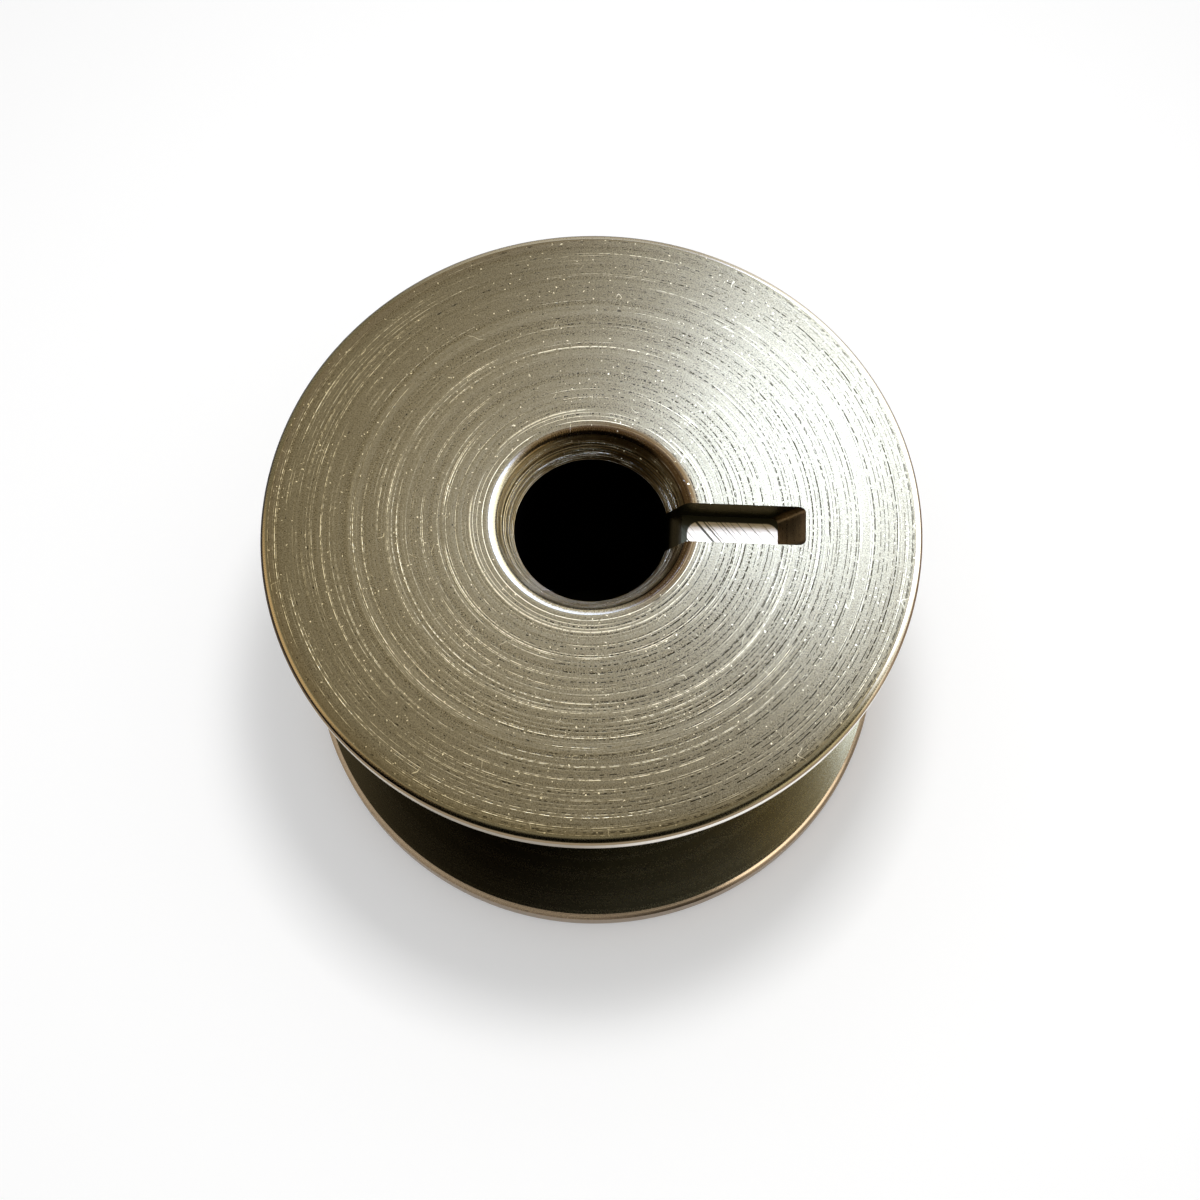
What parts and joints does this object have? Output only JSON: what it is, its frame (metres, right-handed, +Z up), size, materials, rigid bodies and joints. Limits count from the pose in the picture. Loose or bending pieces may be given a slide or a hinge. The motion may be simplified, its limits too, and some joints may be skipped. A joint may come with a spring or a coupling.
{
  "type": "sewing machine bobbin",
  "caption": "Heavy turned steel sewing machine bobbin: flat flanges on a plain core, countersunk spindle bore and a blind radial slot in the upper flange.",
  "frame": {"origin": "centre of the lower flange's outer face, on the bore's axis", "axes": "+Z up the bore, away from the lower flange; +X along the slot in the upper flange"},
  "size_m": [0.027, 0.027, 0.0164],
  "materials": {
    "turned_steel": "turned on the lathe, with fine concentric tool marks"
  },
  "bodies": {
    "root": {"bobbin": "turned_steel"}
  },
  "joints": []
}
